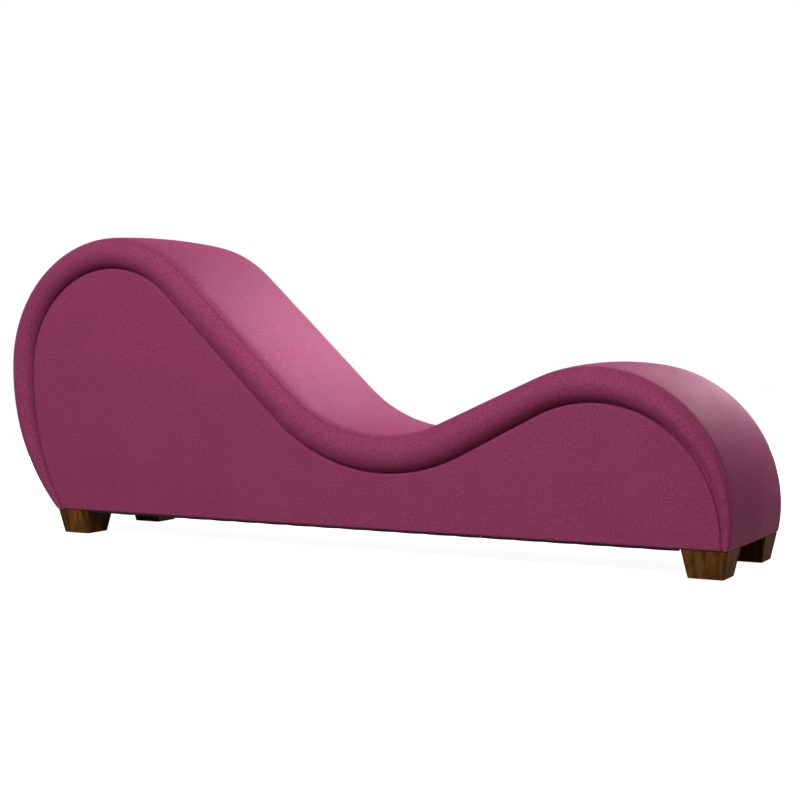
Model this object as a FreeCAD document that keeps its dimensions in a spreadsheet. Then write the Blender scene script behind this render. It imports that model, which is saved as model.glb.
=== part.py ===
import FreeCAD, Part
import math
import os
import Sketcher
from FreeCAD import Placement, Rotation, Vector

# A serpentine chaise longue: +X runs from the head to the toe end, +Y to the sitter's left, +Z up.
# The origin is on the floor, under the middle of the overall box. All sizes are in millimetres.

doc = FreeCAD.newDocument("serpentine_chaise")
sheet = doc.addObject("Spreadsheet::Sheet", "Sheet")

# Driving dimensions
SIZES = {
    "overall_length": 1834,
    "overall_width": 420,
    "overall_height": 724,
    "underside_height": 60,
    # crown line of the pad, along the middle of the top panel;
    # seat_from_head is a share of the run between the tops of the two humps
    "head_overhang": 145,
    "swell_below_top": 324,
    "head_radius": 315,
    "seat_from_head": 0.6073,
    "seat_height": 272,
    "seat_radius": 334,
    "toe_height": 426,
    "toe_radius": 299,
    # cross-section of the pad
    "pad_crown": 6,
    "roll_overhang": 20,
    "roll_edge_radius": 32,
    "roll_under_depth": 30,
    "wadding_depth": 12,
    "seam_depth": 18,
    # deck line, where the pad meets the frame and the side panels, measured from the crown line
    "pad_back_thickness": 71,
    "pad_head_thickness": 78,
    "pad_seat_thickness": 87,
    "pad_toe_thickness": 78,
    "pad_toe_end_thickness": 21,
    "head_hem_thickness": 14,
    "deck_swell_drop": 18,
    "deck_seat_shift": 5,
    "head_arc_step": 73,
    "seat_arc_step": 67,
    "toe_arc_step": 27,
    "trim_allowance": 3,
    # frame
    "deck_thickness": 5,
    "board_thickness": 18,
    "side_padding_thickness": 8,
    "side_cover_thickness": 1.5,
    "batten_width": 40,
    "batten_height": 28,
    "tenon_width": 24,
    "tenon_height": 14,
    "rail_thickness": 20,
    "rail_height": 60,
    "block_length": 56,
    "block_width": 90,
    "block_height": 40,
    "dust_cover_thickness": 1,
    "dust_cover_margin": 3,
    # feet
    "foot_top_size": 95,
    "foot_bottom_size": 73,
    "foot_inset": 3,
    "foot_edge_chamfer": 2,
    "glide_diameter": 24,
    "glide_thickness": 5,
    "glide_proud": 2,
    # clearances
    "curved_gap": 0.3,
    "seat_clearance": 0.2,
}
for row, (alias, value) in enumerate(SIZES.items(), start=1):
    sheet.set(f"A{row}", alias)
    sheet.set(f"B{row}", str(value))
    sheet.setAlias(f"B{row}", alias)
doc.recompute()

# Counts
BATTENS = 13
RAILS = ("head", "middle", "toe")
SIDES = {"right": -1, "left": 1}
ENDS = {"head": -1, "toe": 1}

# How far the pad's path runs on below the underside, and how far the trimming shape reaches past the pad
PATH_TAIL = 60
TRIM_REACH = 150


def num(expression):
    """The number that an expression on the sheet gives."""
    return float(sheet.evalExpression(str(expression)))


# Expressions shared by several sub-parts
HEAD_END = "-Sheet.overall_length / 2"
TOE_END = "Sheet.overall_length / 2"
UNDERSIDE = "Sheet.underside_height"
FRAME_HALF = "(Sheet.overall_width / 2 - Sheet.roll_overhang)"
BOARD_OUTER = f"({FRAME_HALF} - Sheet.side_cover_thickness - Sheet.side_padding_thickness)"
BOARD_INNER = f"({BOARD_OUTER} - Sheet.board_thickness)"
DECK_INSET = "(Sheet.curved_gap + Sheet.deck_thickness)"
BOARD_INSET = f"({DECK_INSET} + Sheet.curved_gap)"
FOOT_TOP = f"({UNDERSIDE} - Sheet.dust_cover_thickness)"
HEAD_CORNER = f"({HEAD_END} + Sheet.head_overhang)"
HALF_WIDTH = "(Sheet.overall_width / 2)"
CROWN_HALF = f"({HALF_WIDTH} - Sheet.roll_edge_radius)"
CROWN_RADIUS = f"((pow({CROWN_HALF}; 2) / Sheet.pad_crown + Sheet.pad_crown) / 2)"
ROLL_RISE = f"sqrt(pow({CROWN_RADIUS} - Sheet.roll_edge_radius; 2) - pow({CROWN_HALF}; 2))"
ROLL_CENTRE_DEPTH = f"({CROWN_RADIUS} - {ROLL_RISE})"
THICKEST = "max(Sheet.pad_head_thickness; Sheet.pad_seat_thickness; Sheet.pad_toe_thickness)"
PAD_DEPTH = f"({THICKEST} + Sheet.trim_allowance)"
SWELL_HEIGHT = "(Sheet.overall_height - Sheet.swell_below_top)"
DECK_TOE_RADIUS = "(Sheet.toe_radius - Sheet.toe_arc_step)"
DECK_TOE_X = f"({TOE_END} - Sheet.pad_toe_end_thickness - {DECK_TOE_RADIUS})"
DECK_TOE_Z = f"(Sheet.toe_height - Sheet.pad_toe_thickness - {DECK_TOE_RADIUS})"


def back_radius(swell, swell_height, start):
    """Radius of the arc that is outermost at the swell and passes the start at the underside."""
    rise = f"({swell_height} - {UNDERSIDE})"
    run = f"({start} - ({swell}))"
    return f"((pow({rise}; 2) / {run} + {run}) / 2)"


def seat_place():
    """Where along the length the seat is lowest, between the tops of the head hump and the toe hump."""
    back = back_radius(HEAD_END, SWELL_HEIGHT, HEAD_CORNER)
    reach = f"(pow({back} - Sheet.head_radius; 2) - pow(Sheet.head_radius - Sheet.swell_below_top; 2))"
    head = f"({HEAD_END} + {back} - sqrt({reach}))"
    toe = f"({TOE_END} - Sheet.toe_radius)"
    return f"({head} + Sheet.seat_from_head * ({toe} - {head}))"


def crown_curve():
    """The line along the middle of the pad's top, as four arcs; the head arc is tangent to the back arc."""
    back = back_radius(HEAD_END, SWELL_HEIGHT, HEAD_CORNER)
    return [
        {"x": f"{HEAD_END} + {back}", "z": SWELL_HEIGHT, "r": back, "turn": 1},
        {"x": None, "z": "Sheet.overall_height - Sheet.head_radius", "r": "Sheet.head_radius", "turn": 1},
        {
            "x": seat_place(),
            "z": "Sheet.seat_height + Sheet.seat_radius",
            "r": "Sheet.seat_radius",
            "turn": -1,
        },
        {
            "x": f"{TOE_END} - Sheet.toe_radius",
            "z": "Sheet.toe_height - Sheet.toe_radius",
            "r": "Sheet.toe_radius",
            "turn": 1,
        },
    ]


def deck_curve(inset="0"):
    """The line where the pad meets the deck and the side panels, moved inwards by the inset."""
    swell = f"({HEAD_END} + Sheet.pad_back_thickness)"
    swell_height = f"({SWELL_HEIGHT} - Sheet.deck_swell_drop)"
    back = back_radius(swell, swell_height, f"({HEAD_CORNER} + Sheet.head_hem_thickness)")
    head = "(Sheet.head_radius - Sheet.head_arc_step)"
    seat = "(Sheet.seat_radius + Sheet.seat_arc_step)"
    return [
        {"x": f"{swell} + {back}", "z": swell_height, "r": f"{back} - {inset}", "turn": 1},
        {
            "x": None,
            "z": f"Sheet.overall_height - Sheet.pad_head_thickness - {head}",
            "r": f"{head} - {inset}",
            "turn": 1,
        },
        {
            "x": f"{seat_place()} + Sheet.deck_seat_shift",
            "z": f"Sheet.seat_height - Sheet.pad_seat_thickness + {seat}",
            "r": f"{seat} + {inset}",
            "turn": -1,
        },
        {"x": DECK_TOE_X, "z": DECK_TOE_Z, "r": f"{DECK_TOE_RADIUS} - {inset}", "turn": 1},
    ]


def solve_curve(arcs, end_height):
    """Centres, radii and the outward normals at the five joints of an S-curve that ends at one height."""
    solved = []
    for arc in arcs:
        x = None if arc["x"] is None else num(arc["x"])
        solved.append({"x": x, "z": num(arc["z"]), "r": num(arc["r"]), "turn": arc["turn"]})
    back, head, seat, toe = solved
    reach = back["r"] - head["r"]
    head["x"] = back["x"] - math.sqrt(reach**2 - (head["z"] - back["z"]) ** 2)
    start_sine = (end_height - back["z"]) / back["r"]
    end_sine = (end_height - toe["z"]) / toe["r"]
    normals = [
        Vector(-math.sqrt(1 - start_sine**2), start_sine, 0),
        Vector(head["x"] - back["x"], head["z"] - back["z"], 0).normalize(),
        common_normal(head, seat),
        common_normal(seat, toe),
        Vector(math.sqrt(1 - end_sine**2), end_sine, 0),
    ]
    return solved, normals


def common_normal(first, second):
    """Normal of the straight that leaves one arc and joins the next."""
    across = Vector(second["x"] - first["x"], second["z"] - first["z"], 0)
    share = (first["turn"] * first["r"] - second["turn"] * second["r"]) / across.Length
    along = across.normalize()
    square = Vector(-along.y, along.x, 0)
    return along * share + square * math.sqrt(1 - share**2)


def on_arc(arc, normal):
    """The point of an arc that has this outward normal."""
    return Vector(arc["x"], arc["z"], 0) + normal * (arc["turn"] * arc["r"])


def new_body(label):
    body = doc.addObject("PartDesign::Body", label)
    body.Label = label
    return body


def origin_plane(body, role):
    return next(feature for feature in body.Origin.OriginFeatures if feature.Role == role)


def new_sketch(body, name, role, offset=None):
    sketch = body.newObject("Sketcher::SketchObject", name)
    sketch.AttachmentSupport = [(origin_plane(body, role), "")]
    sketch.MapMode = "FlatFace"
    if offset:
        sketch.AttachmentOffset = offset
    return sketch


def bind(sketch, kind, *args):
    """Adds a constraint whose last argument is an expression on the sheet."""
    *places, expression = args
    index = sketch.addConstraint(Sketcher.Constraint(kind, *places, num(expression)))
    name = f"size_{index}"
    sketch.renameConstraint(index, name)
    sketch.setExpression(f"Constraints.{name}", str(expression))


def place_point(sketch, geometry, point, x, y):
    """Binds one point of a sketch to its distances from the origin."""
    bind(sketch, "DistanceX", -1, 1, geometry, point, x)
    bind(sketch, "DistanceY", -1, 1, geometry, point, y)


def add_polyline(sketch, corners, closed=True):
    """Adds straight edges through corners given as pairs of expressions."""
    points = [Vector(num(x), num(y), 0) for x, y in corners]
    ends = points[1:] + points[:1] if closed else points[1:]
    lines = [sketch.addGeometry(Part.LineSegment(a, b)) for a, b in zip(points, ends)]
    for before, after in zip(lines, lines[1:]):
        sketch.addConstraint(Sketcher.Constraint("Coincident", before, 2, after, 1))
    if closed:
        sketch.addConstraint(Sketcher.Constraint("Coincident", lines[-1], 2, lines[0], 1))
    else:
        place_point(sketch, lines[-1], 2, *corners[-1])
    for line, (x, y) in zip(lines, corners):
        place_point(sketch, line, 1, x, y)
    return (lines[0], 1), (lines[-1], 2)


def add_curve(sketch, arcs, end_height):
    """Adds an S-curve to a sketch and returns its first and last points as (geometry, point)."""
    solved, normals = solve_curve(arcs, num(end_height))
    ends = []
    for arc, before, after, source in zip(solved, normals, normals[1:], arcs):
        facing = [math.atan2(n.y * arc["turn"], n.x * arc["turn"]) for n in (before, after)]
        low, high = facing[::-1] if arc["turn"] > 0 else facing
        circle = Part.Circle(Vector(arc["x"], arc["z"], 0), Vector(0, 0, 1), arc["r"])
        index = sketch.addGeometry(Part.ArcOfCircle(circle, low, high))
        bind(sketch, "Radius", index, source["r"])
        bind(sketch, "DistanceY", -1, 1, index, 3, source["z"])
        if source["x"]:
            bind(sketch, "DistanceX", -1, 1, index, 3, source["x"])
        ends.append(((index, 2), (index, 1)) if arc["turn"] > 0 else ((index, 1), (index, 2)))
    sketch.addConstraint(Sketcher.Constraint("Tangent", *ends[0][1], *ends[1][0]))
    for before, after, normal in ((1, 2, normals[2]), (2, 3, normals[3])):
        straight = Part.LineSegment(on_arc(solved[before], normal), on_arc(solved[after], normal))
        line = sketch.addGeometry(straight)
        sketch.addConstraint(Sketcher.Constraint("Tangent", *ends[before][1], line, 1))
        sketch.addConstraint(Sketcher.Constraint("Tangent", line, 2, *ends[after][0]))
    first, last = ends[0][0], ends[3][1]
    for end in (first, last):
        bind(sketch, "DistanceY", -1, 1, *end, end_height)
    return first, last


def join(sketch, first, last):
    """Closes an outline with a straight edge between two of its points."""
    line = sketch.addGeometry(Part.LineSegment(sketch.getPoint(*first), sketch.getPoint(*last)))
    sketch.addConstraint(Sketcher.Constraint("Coincident", line, 1, *first))
    sketch.addConstraint(Sketcher.Constraint("Coincident", line, 2, *last))


def pad_across(body, sketch, width):
    """Pads a side outline to both sides of the upright plane along the length."""
    feature = body.newObject("PartDesign::Pad", f"{sketch.Name}_pad")
    feature.Profile = sketch
    feature.setExpression("Length", width)
    feature.SideType = "Symmetric"


# Pad: each layer is a section swept along the crown line, then trimmed to the deck line and the underside


def section_placement():
    """Where the pad's cross-section stands: at the low end of the crown line, square to it."""
    solved, normals = solve_curve(crown_curve(), num(UNDERSIDE) - PATH_TAIL)
    point = on_arc(solved[0], normals[0])
    inwards = Vector(-normals[0].x, 0, -normals[0].y)
    across = Vector(0, 1, 0)
    axes = Rotation(across, inwards, across.cross(inwards), "XYZ")
    return Placement(Vector(point.x, 0, point.y), axes)


def roll_arc(sketch, side, start_angle, end_angle):
    """Adds part of one rolled edge; the angles run from the top of its circle to the side of the roll."""
    centre = Vector(side * num(CROWN_HALF), num(ROLL_CENTRE_DEPTH), 0)
    circle = Part.Circle(centre, Vector(0, 0, 1), num("Sheet.roll_edge_radius"))
    turns = [side * angle - math.pi / 2 for angle in (start_angle, end_angle)]
    arc = sketch.addGeometry(Part.ArcOfCircle(circle, *turns[::side]))
    bind(sketch, "Radius", arc, "Sheet.roll_edge_radius")
    crown_end, side_end = ((arc, 1), (arc, 2))[::side]
    return arc, crown_end, side_end


def seam_angle():
    """How far round the rolled edge the seam lies."""
    return math.acos((num(ROLL_CENTRE_DEPTH) - num("Sheet.seam_depth")) / num("Sheet.roll_edge_radius"))


def foam_section(sketch):
    """A slab as wide as the frame."""
    top = "Sheet.wadding_depth"
    left, right = f"-{FRAME_HALF}", FRAME_HALF
    add_polyline(sketch, [(left, top), (right, top), (right, PAD_DEPTH), (left, PAD_DEPTH)])


def top_panel_section(sketch):
    """A crowned layer over the foam that rolls over both edges to the seams."""
    tilt = math.asin(num(CROWN_HALF) / (num(CROWN_RADIUS) - num("Sheet.roll_edge_radius")))
    circle = Part.Circle(Vector(0, num(CROWN_RADIUS), 0), Vector(0, 0, 1), num(CROWN_RADIUS))
    crown = sketch.addGeometry(Part.ArcOfCircle(circle, -math.pi / 2 - tilt, -math.pi / 2 + tilt))
    bind(sketch, "Radius", crown, CROWN_RADIUS)
    place_point(sketch, crown, 3, "0", CROWN_RADIUS)
    seam = "Sheet.seam_depth"
    top = "Sheet.wadding_depth"
    under = [(f"-{FRAME_HALF}", seam), (f"-{FRAME_HALF}", top), (FRAME_HALF, top), (FRAME_HALF, seam)]
    under_ends = add_polyline(sketch, under, closed=False)
    for side, crown_point, under_end in zip((-1, 1), (1, 2), under_ends):
        arc, crown_end, seam_end = roll_arc(sketch, side, tilt, seam_angle())
        bind(sketch, "DistanceX", -1, 1, arc, 3, f"{side} * {CROWN_HALF}")
        sketch.addConstraint(Sketcher.Constraint("Tangent", crown, crown_point, *crown_end))
        bind(sketch, "DistanceY", -1, 1, *seam_end, seam)
        join(sketch, seam_end, under_end)


def boxing_section(side):
    """The band from the seam round the side of the roll and back in to the frame."""

    def draw(sketch):
        seam = "Sheet.seam_depth"
        outer = f"{side} * {HALF_WIDTH}"
        inner = f"{side} * {FRAME_HALF}"
        wall_low = f"{PAD_DEPTH} - Sheet.roll_under_depth"
        arc, seam_end, side_end = roll_arc(sketch, side, seam_angle(), math.pi / 2)
        bind(sketch, "DistanceY", -1, 1, arc, 3, ROLL_CENTRE_DEPTH)
        bind(sketch, "DistanceY", -1, 1, *seam_end, seam)
        low = Vector(num(outer), num(wall_low), 0)
        wall = sketch.addGeometry(Part.LineSegment(sketch.getPoint(*side_end), low))
        sketch.addConstraint(Sketcher.Constraint("Tangent", *side_end, wall, 1))
        sketch.addConstraint(Sketcher.Constraint("Vertical", wall))
        place_point(sketch, wall, 2, outer, wall_low)
        base_end, top_end = add_polyline(sketch, [(inner, PAD_DEPTH), (inner, seam)], closed=False)
        join(sketch, (wall, 2), base_end)
        join(sketch, top_end, seam_end)

    return draw


def swept_pad(label, draw_section):
    """A section swept along the crown line and trimmed to the deck line and the underside."""
    body = new_body(label)
    path = new_sketch(body, f"{label}_path", "XZ_Plane")
    add_curve(path, crown_curve(), f"{UNDERSIDE} - {PATH_TAIL}")
    target = section_placement()
    offset = origin_plane(body, "YZ_Plane").Placement.inverse() * target
    section = new_sketch(body, f"{label}_section", "YZ_Plane", offset)
    draw_section(section)
    doc.recompute()
    sweep = body.newObject("PartDesign::AdditivePipe", f"{label}_sweep")
    sweep.Profile = section
    sweep.Spine = path
    doc.recompute()
    trim = new_sketch(body, f"{label}_trim", "XZ_Plane")
    first, last = add_curve(trim, deck_curve(), UNDERSIDE)
    low = f"{UNDERSIDE} - {TRIM_REACH}"
    skirt = [
        (f"{HEAD_END} - {TRIM_REACH}", UNDERSIDE),
        (f"{HEAD_END} - {TRIM_REACH}", low),
        (f"{TOE_END} + {TRIM_REACH}", low),
        (f"{TOE_END} + {TRIM_REACH}", UNDERSIDE),
    ]
    skirt_first, skirt_last = add_polyline(trim, skirt, closed=False)
    join(trim, first, skirt_first)
    join(trim, last, skirt_last)
    pocket = body.newObject("PartDesign::Pocket", f"{label}_trim_cut")
    pocket.Profile = trim
    pocket.Type = "ThroughAll"
    pocket.SideType = "Symmetric"
    doc.recompute()
    return body


def pad_pieces():
    """The foam slab, the top panel over it and the rolled side bands."""
    pieces = [swept_pad("pad_foam", foam_section), swept_pad("pad_top_panel", top_panel_section)]
    for name, side in SIDES.items():
        pieces.append(swept_pad(f"pad_boxing_{name}", boxing_section(side)))
    return pieces


# Frame: a bent deck over two side boards, battens and rails between the boards, blocks for the feet


def seat_deck():
    body = new_body("seat_deck")
    sketch = new_sketch(body, "seat_deck_outline", "XZ_Plane")
    upper = add_curve(sketch, deck_curve("Sheet.curved_gap"), UNDERSIDE)
    lower = add_curve(sketch, deck_curve(DECK_INSET), UNDERSIDE)
    for above, below in zip(upper, lower):
        join(sketch, above, below)
    pad_across(body, sketch, f"2 * {BOARD_OUTER}")
    return body


def side_layer(label, inset, thickness, inner_face, side):
    """A flat S-shaped layer of one side, from the underside up to the deck line."""
    body = new_body(label)
    sketch = new_sketch(body, f"{label}_outline", "XZ_Plane")
    join(sketch, *add_curve(sketch, deck_curve(inset), UNDERSIDE))
    pad_across(body, sketch, thickness)
    body.setExpression(".Placement.Base.y", f"{side} * ({inner_face} + {thickness} / 2)")
    return body


def deck_stations(count):
    """Points spaced evenly under the deck, each with its outward normal and the arc that it lies on."""
    solved, normals = solve_curve(deck_curve(BOARD_INSET), num(UNDERSIDE))
    runs = []
    for index, arc in enumerate(solved):
        before, after = normals[index], normals[index + 1]
        angle = before.getAngle(after)
        runs.append(("arc", arc, before, after, angle * arc["r"]))
        if index in (1, 2):
            start = on_arc(arc, after)
            end = on_arc(solved[index + 1], after)
            runs.append(("straight", start, end, after, start.distanceToPoint(end)))
    total = sum(run[-1] for run in runs)
    stations = []
    for step in range(count):
        left = total * (step + 0.5) / count
        for kind, first, second, third, length in runs:
            if left <= length:
                break
            left -= length
        share = left / length
        if kind == "straight":
            stations.append((first + (second - first) * share, third, None))
        else:
            turned = Rotation(Vector(0, 0, 1), -math.degrees(length / first["r"]) * share * first["turn"])
            normal = turned.multVec(second)
            stations.append((on_arc(first, normal), normal, first))
    return stations


def tenoned_bar(label, width, height, tenon_width, tenon_height):
    """A bar between the side boards, with a tenon through each of them. Its top is its own Z = 0."""
    body = new_body(label)
    shoulder = f"({height} - {tenon_height}) / 2"
    shapes = {
        "bar": (width, "0", f"-{height}", BOARD_INNER),
        "tenon": (tenon_width, f"-{shoulder}", f"-({shoulder} + {tenon_height})", BOARD_OUTER),
    }
    for name, (breadth, top, low, reach) in shapes.items():
        sketch = new_sketch(body, f"{label}_{name}", "XZ_Plane")
        half = f"{breadth} / 2"
        add_polyline(sketch, [(f"-{half}", low), (half, low), (half, top), (f"-{half}", top)])
        pad_across(body, sketch, f"2 * {reach}")
    return body


def cross_battens():
    """Battens square to the deck, lower where it is hollow from below, so that their edges touch it."""
    bars = []
    half = num("Sheet.batten_width") / 2
    for number, (point, normal, arc) in enumerate(deck_stations(BATTENS), start=1):
        bar = tenoned_bar(
            f"cross_batten_{number:02d}",
            "Sheet.batten_width",
            "Sheet.batten_height",
            "Sheet.tenon_width",
            "Sheet.tenon_height",
        )
        sink = 0
        if arc and arc["turn"] > 0:
            sink = arc["r"] - math.sqrt(arc["r"] ** 2 - half**2)
        seat = point - normal * sink
        tilt = math.degrees(math.atan2(normal.x, normal.y))
        bar.Placement = Placement(Vector(seat.x, 0, seat.y), Rotation(Vector(0, 1, 0), tilt))
        bars.append(bar)
    return bars


def foot_centre(end, side):
    """Plan position of a foot, as expressions: flush with the bottom corner, less a small inset."""
    half = "Sheet.foot_top_size / 2"
    toe_rise = f"({UNDERSIDE} - Sheet.toe_height + Sheet.toe_radius)"
    toe_corner = f"({TOE_END} - Sheet.toe_radius + sqrt(pow(Sheet.toe_radius; 2) - pow({toe_rise}; 2)))"
    corner = HEAD_CORNER if end < 0 else toe_corner
    x = f"{corner} - {end} * ({half} + Sheet.foot_inset)"
    y = f"{side} * ({FRAME_HALF} - {half} - Sheet.foot_inset)"
    return x, y


def base_rails():
    """Rails on edge between the boards: one inside each pair of feet and one midway."""
    head_x, _ = foot_centre(ENDS["head"], 1)
    toe_x, _ = foot_centre(ENDS["toe"], 1)
    beside_foot = "(Sheet.block_length + Sheet.rail_thickness) / 2"
    places = {
        "head": f"{head_x} + {beside_foot}",
        "middle": f"(({head_x}) + ({toe_x})) / 2",
        "toe": f"{toe_x} - {beside_foot}",
    }
    rails = []
    for name in RAILS:
        rail = tenoned_bar(
            f"base_rail_{name}",
            "Sheet.rail_thickness",
            "Sheet.rail_height",
            "Sheet.rail_thickness",
            "Sheet.tenon_width",
        )
        rail.setExpression(".Placement.Base.x", places[name])
        rail.setExpression(".Placement.Base.z", f"{UNDERSIDE} + Sheet.rail_height")
        rails.append(rail)
    return rails


def box(label, x, y, z, length, width, height):
    """A plain block, centred in plan on a point, with its underside at one height."""
    piece = doc.addObject("Part::Box", label)
    piece.Label = label
    piece.setExpression("Length", length)
    piece.setExpression("Width", width)
    piece.setExpression("Height", height)
    piece.setExpression(".Placement.Base.x", f"{x} - ({length}) / 2")
    piece.setExpression(".Placement.Base.y", f"{y} - ({width}) / 2")
    piece.setExpression(".Placement.Base.z", z)
    return piece


def corner_block(label, end, side):
    """Carries the load of a foot into the side board, to which it is glued."""
    x, _ = foot_centre(end, side)
    y = f"{side} * ({BOARD_INNER} - Sheet.block_width / 2)"
    return box(label, x, y, UNDERSIDE, "Sheet.block_length", "Sheet.block_width", "Sheet.block_height")


def foot(label, end, side):
    """A square block that tapers to the floor, with a shallow seat for its glide."""
    body = new_body(label)
    taper = body.newObject("PartDesign::AdditiveWedge", f"{label}_taper")
    taper.AttachmentSupport = [(origin_plane(body, "XZ_Plane"), "")]
    taper.MapMode = "FlatFace"
    low = "Sheet.glide_proud"
    taper.setExpression("Ymin", low)
    taper.setExpression("Ymax", FOOT_TOP)
    for axis in ("X", "Z"):
        for bound, sign in (("min", "-"), ("max", "")):
            taper.setExpression(f"{axis}{bound}", f"{sign}Sheet.foot_bottom_size / 2")
            taper.setExpression(f"{axis}2{bound}", f"{sign}Sheet.foot_top_size / 2")
    doc.recompute()
    upright = []
    for index, edge in enumerate(taper.Shape.Edges, start=1):
        heights = [vertex.Z for vertex in edge.Vertexes]
        if max(heights) - min(heights) > 1:
            upright.append(f"Edge{index}")
    eased = body.newObject("PartDesign::Chamfer", f"{label}_eased_edges")
    eased.Base = (taper, upright)
    eased.setExpression("Size", "Sheet.foot_edge_chamfer")
    doc.recompute()
    sole = Placement(Vector(0, 0, num(low)), Rotation())
    sketch = new_sketch(body, f"{label}_glide_seat", "XY_Plane", sole)
    seat = "Sheet.glide_diameter + 2 * Sheet.seat_clearance"
    rim = sketch.addGeometry(Part.Circle(Vector(), Vector(0, 0, 1), num(seat) / 2))
    bind(sketch, "Diameter", rim, seat)
    place_point(sketch, rim, 3, "0", "0")
    pocket = body.newObject("PartDesign::Pocket", f"{label}_glide_seat_cut")
    pocket.Profile = sketch
    pocket.setExpression("Length", "Sheet.glide_thickness - Sheet.glide_proud")
    pocket.Reversed = True
    x, y = foot_centre(end, side)
    body.setExpression(".Placement.Base.x", x)
    body.setExpression(".Placement.Base.y", y)
    doc.recompute()
    if pocket.Shape.Volume >= eased.Shape.Volume:
        raise RuntimeError(f"{label} has no seat for its glide")
    return body


def glide(label, end, side):
    """A round slip pressed into the sole of a foot."""
    piece = doc.addObject("Part::Cylinder", label)
    piece.Label = label
    piece.setExpression("Radius", "Sheet.glide_diameter / 2")
    piece.setExpression("Height", "Sheet.glide_thickness")
    x, y = foot_centre(end, side)
    piece.setExpression(".Placement.Base.x", x)
    piece.setExpression(".Placement.Base.y", y)
    return piece


def dust_cover():
    """Black cloth stapled under the frame, between it and the feet."""
    margin = "Sheet.dust_cover_margin"
    toe_reach = f"sqrt(pow({DECK_TOE_RADIUS}; 2) - pow({UNDERSIDE} - {DECK_TOE_Z}; 2))"
    head = f"({HEAD_CORNER} + Sheet.head_hem_thickness + {margin})"
    toe = f"({DECK_TOE_X} + {toe_reach} - {margin})"
    middle = f"({head} + {toe}) / 2"
    width = f"2 * ({FRAME_HALF} - {margin})"
    return box("dust_cover", middle, "0", FOOT_TOP, f"{toe} - {head}", width, "Sheet.dust_cover_thickness")


def side_boards(bars):
    """The two S-shaped boards, mortised for every batten and rail."""
    tenons = doc.addObject("Part::Compound", "frame_bars")
    tenons.Links = bars
    boards = []
    for name, side in SIDES.items():
        blank = side_layer(f"side_blank_{name}", BOARD_INSET, "Sheet.board_thickness", BOARD_INNER, side)
        board = doc.addObject("Part::Cut", f"side_board_{name}")
        board.Label = f"side_board_{name}"
        board.Base = blank
        board.Tool = tenons
        boards.append(board)
    return boards


def side_panels():
    """Thin foam and a flat cover on the outside of each board."""
    padding_face = BOARD_OUTER
    cover_face = f"({BOARD_OUTER} + Sheet.side_padding_thickness)"
    panels = []
    for name, side in SIDES.items():
        padding = "Sheet.side_padding_thickness"
        panels.append(side_layer(f"side_padding_{name}", "Sheet.curved_gap", padding, padding_face, side))
        cover = "Sheet.side_cover_thickness"
        panels.append(side_layer(f"side_cover_{name}", "Sheet.curved_gap", cover, cover_face, side))
    return panels


def build():
    corners = [(f"{end}_{side}", ENDS[end], SIDES[side]) for end in ENDS for side in SIDES]
    bars = cross_battens() + base_rails()
    nodes = pad_pieces() + [seat_deck()] + bars + side_boards(bars) + side_panels()
    for name, end, side in corners:
        nodes.append(corner_block(f"corner_block_{name}", end, side))
        nodes.append(foot(f"foot_{name}", end, side))
        nodes.append(glide(f"glide_{name}", end, side))
    nodes.append(dust_cover())
    doc.recompute()
    return nodes


def check(nodes):
    """Stops the build if anything failed to recompute or a sub-part has no valid shape."""
    for thing in doc.Objects:
        if "Invalid" in thing.State or "Error" in thing.State:
            raise RuntimeError(f"{thing.Label} failed: {thing.State}")
    for node in nodes:
        if node.Shape.isNull() or not node.Shape.isValid() or not node.Shape.Solids:
            raise RuntimeError(f"{node.Label} has no valid solid")


def export(nodes):
    os.makedirs("parts", exist_ok=True)
    for node in nodes:
        node.Shape.exportStep(f"parts/{node.Label}.step")
        print(f"{node.Label}: {len(node.Shape.Solids)} solids, {node.Shape.Volume / 1000:.1f} cm3")


sub_parts = build()
check(sub_parts)
export(sub_parts)
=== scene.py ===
import math
import bmesh
import bpy
import numpy as np
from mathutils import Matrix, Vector


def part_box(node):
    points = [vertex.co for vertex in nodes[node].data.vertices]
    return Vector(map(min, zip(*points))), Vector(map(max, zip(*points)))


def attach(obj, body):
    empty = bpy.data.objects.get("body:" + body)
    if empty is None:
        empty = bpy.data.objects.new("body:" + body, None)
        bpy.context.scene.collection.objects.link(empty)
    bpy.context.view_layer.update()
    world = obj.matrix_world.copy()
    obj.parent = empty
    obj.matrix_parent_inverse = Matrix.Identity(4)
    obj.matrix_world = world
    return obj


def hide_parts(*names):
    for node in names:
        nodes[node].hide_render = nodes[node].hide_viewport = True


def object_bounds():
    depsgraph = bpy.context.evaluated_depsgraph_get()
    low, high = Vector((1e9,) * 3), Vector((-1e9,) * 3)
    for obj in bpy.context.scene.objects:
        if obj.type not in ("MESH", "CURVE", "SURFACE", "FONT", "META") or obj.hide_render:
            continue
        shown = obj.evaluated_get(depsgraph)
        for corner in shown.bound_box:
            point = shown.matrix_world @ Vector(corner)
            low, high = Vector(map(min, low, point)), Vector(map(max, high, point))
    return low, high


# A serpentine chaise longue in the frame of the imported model: +X from the head to the toe end, +Z up, metres.

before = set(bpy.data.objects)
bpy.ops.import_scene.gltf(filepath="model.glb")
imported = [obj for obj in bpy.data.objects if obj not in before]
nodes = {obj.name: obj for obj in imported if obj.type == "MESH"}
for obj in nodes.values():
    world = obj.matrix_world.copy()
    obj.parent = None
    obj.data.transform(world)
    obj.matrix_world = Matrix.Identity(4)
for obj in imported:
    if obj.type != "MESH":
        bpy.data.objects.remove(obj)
cad_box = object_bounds()
MM = 0.001

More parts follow.
